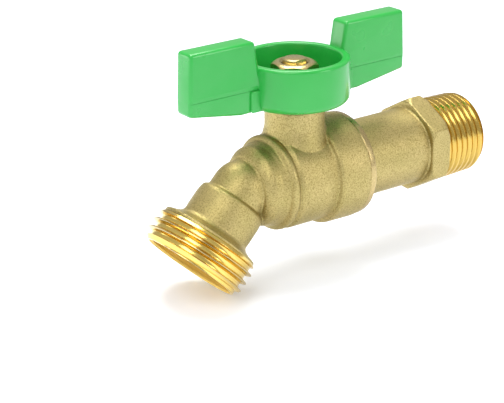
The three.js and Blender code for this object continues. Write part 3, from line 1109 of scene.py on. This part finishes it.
class HB_OT_fasteners(bpy.types.Operator):
    """Handle nut, split washer and the threaded end of the stem"""

    bl_idname = "hb.fasteners"
    bl_label = "Nut, washer and stem"

    def execute(self, context):
        s = sizes("hb_fastener", "hb_handle")
        machined = plain_metal(
            "turned_brass_nut", tuple(context.scene.hb_finish.cast_light), 0.34, 0.26, 1800
        )
        steel = plain_metal("spring_steel", tuple(context.scene.hb_finish.steel), 0.42, 0.30, 1200)
        self.nut(s, machined)
        self.washer(s, steel)
        self.stem(s, machined)
        return {"FINISHED"}

    def nut(self, s, material):
        corner = s.nut_half * HEX_CORNER
        turn = Matrix.Rotation(s.nut_turn, 4, "Z")
        nut = hexagon("nut", s.nut_half, s.nut_bottom, s.nut_top, material, turn)
        bottom, top = s.nut_bottom, s.nut_top
        rounding = turned(
            "rounding",
            [
                (0, bottom),
                (s.nut_half, bottom),
                (corner + 0.05, bottom + 0.4),
                (corner + 0.05, top - 1.05),
                (s.nut_half + 0.25, top - 0.45),
                (s.nut_half - 0.45, top - 0.05),
                (s.nut_half - 0.7, top),
                (0, top),
            ],
            material,
        )
        combine(nut, "INTERSECT", rounding)
        apply(
            nut,
            "BEVEL",
            width=0.18,
            segments=3,
            limit_method="ANGLE",
            angle_limit=math.radians(35),
        )
        hole = turned(
            "hole",
            [
                (0, bottom - 1),
                (3.15, bottom - 1),
                (3.15, top - 0.55),
                (3.62, top - 0.08),
                (3.75, top + 1),
                (0, top + 1),
            ],
            material,
        )
        combine(nut, "DIFFERENCE", hole)
        settle(nut, "handle_hex_nut", "handle_and_stem", "turned_brass", "handle_nut")

    def washer(self, s, material):
        low, high = edge_of("handle_washer", 2, 0), edge_of("handle_washer", 2, 1)
        washer = turned(
            "washer",
            [
                (3.15, low),
                (5.1, low),
                (5.2, low + 0.1),
                (5.2, high - 0.1),
                (5.1, high),
                (3.15, high),
                (3.15, low),
            ],
            material,
        )
        corners = [(2.5, low - 1), (6.5, low - 1), (6.5, high + 1), (2.5, high + 1)]
        slot = plate("slot", corners, 0.8, material)
        combine(washer, "DIFFERENCE", slot)
        settle(washer, "handle_split_washer", "handle_and_stem", "spring_steel", "handle_washer")

    def stem(self, s, material):
        top, web = s.stem_top, s.web_top
        stem = turned(
            "stem",
            [
                (0, 7.5),
                (4.3, 9.0),
                (4.5, 9.2),
                (4.5, 9.8),
                (4.3, 10.0),
                (3.4, 10.0),
                (3.4, 11.3),
                (2.5, 11.3),
                (2.5, 12.5),
                (3.4, 12.5),
                (3.4, web - 0.2),
                (2.8, web + 0.4),
                (2.55, web + 0.5),
                (2.55, top - 2.4),
                (s.stem_radius - 0.1, top - 2.2),
                (s.stem_radius, top - 1.9),
                (s.stem_radius, top - 0.35),
                (s.stem_radius - 0.3, top - 0.05),
                (s.stem_radius - 0.45, top),
                (0, top),
            ],
            material,
            steps=64,
        )
        flat, waste = 2.45, 3
        for side in (1, -1):
            corners = [(-6, 17.8), (6, 17.8), (6, top + 1), (-6, top + 1)]
            cut = plate("cut", corners, waste, material)
            place(cut, Matrix.Translation((side * (flat + waste / 2), 0, 0)))
            combine(stem, "DIFFERENCE", cut)
        apply(
            stem,
            "BEVEL",
            width=0.08,
            segments=2,
            limit_method="ANGLE",
            angle_limit=math.radians(50),
        )
        settle(stem, "valve_stem", "handle_and_stem", "turned_brass", "stem")


class HB_OT_inside(bpy.types.Operator):
    """Finishes of the ball, the seats, the seals and the packing"""

    bl_idname = "hb.inside"
    bl_label = "Inside pieces"

    def execute(self, context):
        finish = context.scene.hb_finish
        white = plain_metal("seat_white", tuple(finish.ptfe), 0.55, 0.42, 900, 0.0)
        black = plain_metal("seal_rubber", tuple(finish.rubber), 0.75, 0.6, 1600, 0.0)
        chrome = plain_metal("ball_chrome", tuple(finish.chrome), 0.10, 0.05, 500, 1.0, 0.03)
        brass = plain_metal("packing_brass", tuple(finish.turned), 0.30, 0.20, 1500)
        kinds = {
            "ball": chrome,
            "inlet_seat_ring": white,
            "outlet_seat_ring": white,
            "stem_thrust_washer": white,
            "lower_packing_ring": white,
            "upper_packing_ring": white,
            "body_joint_o_ring": black,
            "stem_o_ring": black,
            "packing_gland": brass,
            "packing_nut": brass,
        }
        for node, material in kinds.items():
            slots = frame["nodes"][node].material_slots
            if not slots:
                raise RuntimeError(node + " has no material slot")
            for material_slot in slots:
                material_slot.material = material
        return {"FINISHED"}


class HB_OT_stage(bpy.types.Operator):
    """Pale floor, soft lights and the camera"""

    bl_idname = "hb.stage"
    bl_label = "Stage"

    def execute(self, context):
        look = context.scene.hb_stage
        low = CAD_BOX[0][2]
        n = Nodes("floor_paint")
        tone = n.noise(6, 2, 0.5)
        pale = tuple(look.floor)
        shade = n.ramp(tone, "Fac", [(0.3, mixed(pale, grey(0), 0.01)), (0.7, pale)])
        n.join(shade, "Color", n.shader, "Base Color")
        n.set(
            Roughness=0.8,
            Specular_IOR_Level=0.2,
            Emission_Color=grey(1.0),
            Emission_Strength=0.20,
        )
        deselect()
        bpy.ops.mesh.primitive_plane_add(size=8, location=(0, 0, low - 0.0002))
        floor = bpy.context.object
        floor.name = "floor"
        floor.data.materials.append(n.material)
        self.lights()
        self.sky(context)
        deselect()
        bpy.ops.object.camera_add(
            location=STEM_AXIS + Vector(look.stand), rotation=tuple(look.aim)
        )
        camera = bpy.context.object
        camera.data.lens = look.lens
        camera.data.sensor_width = 36
        camera.data.clip_start = 0.01
        context.scene.camera = camera
        context.scene.view_settings.view_transform = "Standard"
        return {"FINISHED"}

    def lights(self):
        """A key light high on the outlet side, a broad top light, and three weaker fills."""
        for name, spot, size, energy in (
            ("key", (0.34, -0.50, 0.62), 0.45, 2.5),
            ("top", (-0.20, 0.10, 0.75), 0.50, 6.0),
            ("side", (0.65, 0.35, 0.30), 0.30, 1.4),
            ("left", (-0.48, -0.50, 0.06), 0.30, 0.9),
            ("low", (-0.10, -0.60, 0.03), 0.20, 0.3),
        ):
            deselect()
            bpy.ops.object.light_add(type="AREA", location=STEM_AXIS + Vector(spot))
            light = bpy.context.object
            light.name = name
            light.data.size = size
            light.data.energy = energy
            light.rotation_euler = (-Vector(spot)).to_track_quat("-Z", "Y").to_euler()

    def sky(self, context):
        """White to look at, and a faint gradient, brighter above, to reflect."""
        world = context.scene.world or bpy.data.worlds.new("studio")
        context.scene.world = world
        world.use_nodes = True
        tree = world.node_tree
        tree.nodes.clear()
        add, join = tree.nodes.new, tree.links.new
        output, seen = add("ShaderNodeOutputWorld"), add("ShaderNodeBackground")
        lit, mix = add("ShaderNodeBackground"), add("ShaderNodeMixShader")
        path, place_of = add("ShaderNodeLightPath"), add("ShaderNodeTexCoord")
        split, ramp = add("ShaderNodeSeparateXYZ"), add("ShaderNodeValToRGB")
        join(place_of.outputs["Generated"], split.inputs[0])
        join(split.outputs["Z"], ramp.inputs["Fac"])
        for element, (position, value) in zip(
            [*ramp.color_ramp.elements, *(ramp.color_ramp.elements.new(1) for _ in range(2))],
            ((0.0, 0.52), (0.25, 0.52), (0.55, 0.58), (1.0, 0.66)),
        ):
            element.position = position
            element.color = grey(value)
        seen.inputs["Color"].default_value = grey(1.0)
        seen.inputs["Strength"].default_value = 1.0
        join(ramp.outputs["Color"], lit.inputs["Color"])
        lit.inputs["Strength"].default_value = 1.0
        join(path.outputs["Is Camera Ray"], mix.inputs[0])
        join(lit.outputs[0], mix.inputs[1])
        join(seen.outputs[0], mix.inputs[2])
        join(mix.outputs[0], output.inputs[0])


PIECES = (HB_OT_body, HB_OT_tailpiece, HB_OT_handle, HB_OT_fasteners, HB_OT_inside, HB_OT_stage)


class HB_PT_panel(bpy.types.Panel):
    bl_idname = "HB_PT_panel"
    bl_label = "Hose bib"
    bl_space_type = "VIEW_3D"
    bl_region_type = "UI"
    bl_category = "Hose Bib"

    def draw(self, context):
        for name, group in GROUPS.items():
            box = self.layout.box()
            box.label(text=group.__name__)
            for key in group.__annotations__:
                box.prop(getattr(context.scene, name), key)
        for piece in PIECES:
            self.layout.operator(piece.bl_idname)


def register():
    for group in GROUPS.values():
        bpy.utils.register_class(group)
    for name, group in GROUPS.items():
        setattr(bpy.types.Scene, name, bpy.props.PointerProperty(type=group))
    for piece in (*PIECES, HB_PT_panel):
        bpy.utils.register_class(piece)


def unregister():
    for piece in reversed((*PIECES, HB_PT_panel)):
        bpy.utils.unregister_class(piece)
    for name, group in GROUPS.items():
        delattr(bpy.types.Scene, name)
        bpy.utils.unregister_class(group)


def main():
    register()
    for piece in PIECES:
        family, step = piece.bl_idname.split(".")
        getattr(getattr(bpy.ops, family), step)()


if __name__ == "__main__":
    main()
